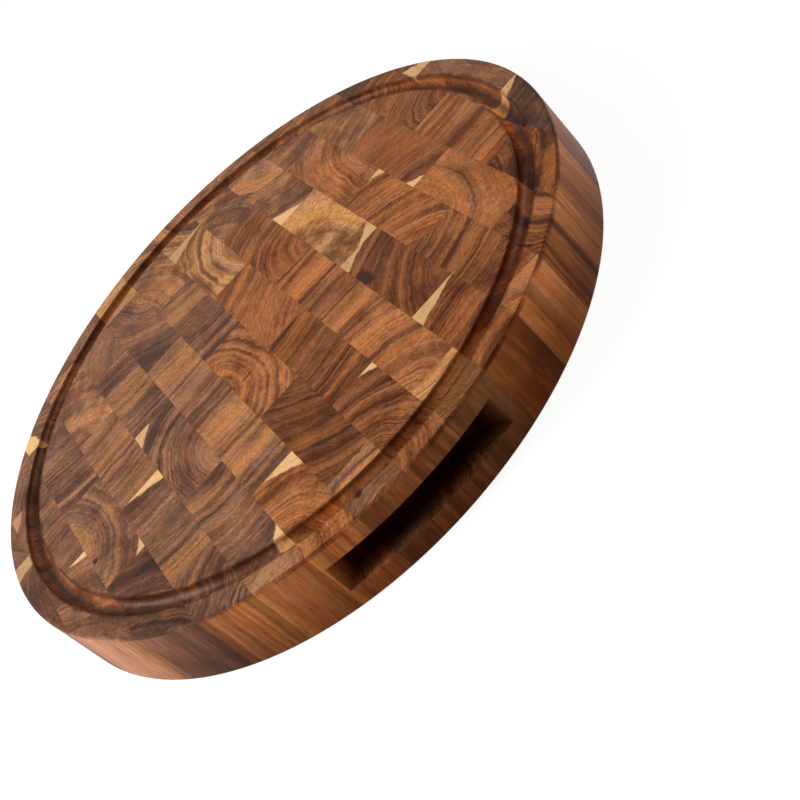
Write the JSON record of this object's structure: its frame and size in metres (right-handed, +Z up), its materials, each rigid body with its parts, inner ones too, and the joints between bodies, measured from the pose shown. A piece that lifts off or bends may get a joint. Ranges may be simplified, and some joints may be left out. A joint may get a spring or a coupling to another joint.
{
  "type": "round chopping block",
  "caption": "Thick round end-grain chopping block of glued wooden blocks, with a juice groove round the top face and a finger pocket in the rim at each side.",
  "frame": {"origin": "centre of the underside, in the plane of the surface that the board stands on", "axes": "+Z up through the thickness; the two finger pockets face -Y and +Y; the glued strips run 3 degrees off Y"},
  "size_m": [0.35, 0.35, 0.038],
  "materials": {
    "golden_wood": "satin",
    "tan_wood": "satin",
    "orange_brown_wood": "satin",
    "red_brown_wood": "satin",
    "brown_wood": "satin",
    "dark_brown_wood": "satin"
  },
  "bodies": {
    "root": {"left_7_front_1": "brown_wood", "left_7_back_1": "brown_wood", "left_6_front_1": "red_brown_wood", "left_6_back_1": "red_brown_wood", "left_6_back_2": "brown_wood", "left_5_front_2": "dark_brown_wood", "left_5_front_1": "tan_wood", "left_5_back_1": "brown_wood", "left_5_back_2": "brown_wood", "left_4_front_2": "dark_brown_wood", "left_4_front_1": "brown_wood", "left_4_back_1": "red_brown_wood", "left_4_back_2": "tan_wood", "left_4_back_3": "brown_wood", "left_3_front_3": "orange_brown_wood", "left_3_front_2": "red_brown_wood", "left_3_front_1": "red_brown_wood", "left_3_back_1": "dark_brown_wood", "left_3_back_2": "dark_brown_wood", "left_2_front_2": "orange_brown_wood", "left_2_front_1": "tan_wood", "left_2_back_1": "orange_brown_wood", "left_2_back_2": "dark_brown_wood", "left_2_back_3": "golden_wood", "left_1_front_3": "brown_wood", "left_1_front_2": "dark_brown_wood", "left_1_front_1": "orange_brown_wood", "left_1_back_1": "brown_wood", "left_1_back_2": "red_brown_wood", "right_1_front_2": "red_brown_wood", "right_1_front_1": "red_brown_wood", "right_1_back_1": "orange_brown_wood", "right_1_back_2": "golden_wood", "right_1_back_3": "red_brown_wood", "right_2_front_3": "orange_brown_wood", "right_2_front_2": "tan_wood", "right_2_front_1": "orange_brown_wood", "right_2_back_1": "red_brown_wood", "right_2_back_2": "brown_wood", "right_3_front_2": "brown_wood", "right_3_front_1": "red_brown_wood", "right_3_back_1": "golden_wood", "right_3_back_2": "tan_wood", "right_3_back_3": "tan_wood", "right_4_front_3": "orange_brown_wood", "right_4_front_2": "orange_brown_wood", "right_4_front_1": "red_brown_wood", "right_4_back_1": "tan_wood", "right_4_back_2": "brown_wood", "right_5_front_2": "red_brown_wood", "right_5_front_1": "orange_brown_wood", "right_5_back_1": "red_brown_wood", "right_5_back_2": "brown_wood", "right_6_front_2": "dark_brown_wood", "right_6_front_1": "orange_brown_wood", "right_6_back_1": "tan_wood", "right_6_back_2": "dark_brown_wood", "right_7_front_1": "dark_brown_wood", "right_7_back_1": "brown_wood", "right_7_back_2": "red_brown_wood"}
  },
  "joints": []
}
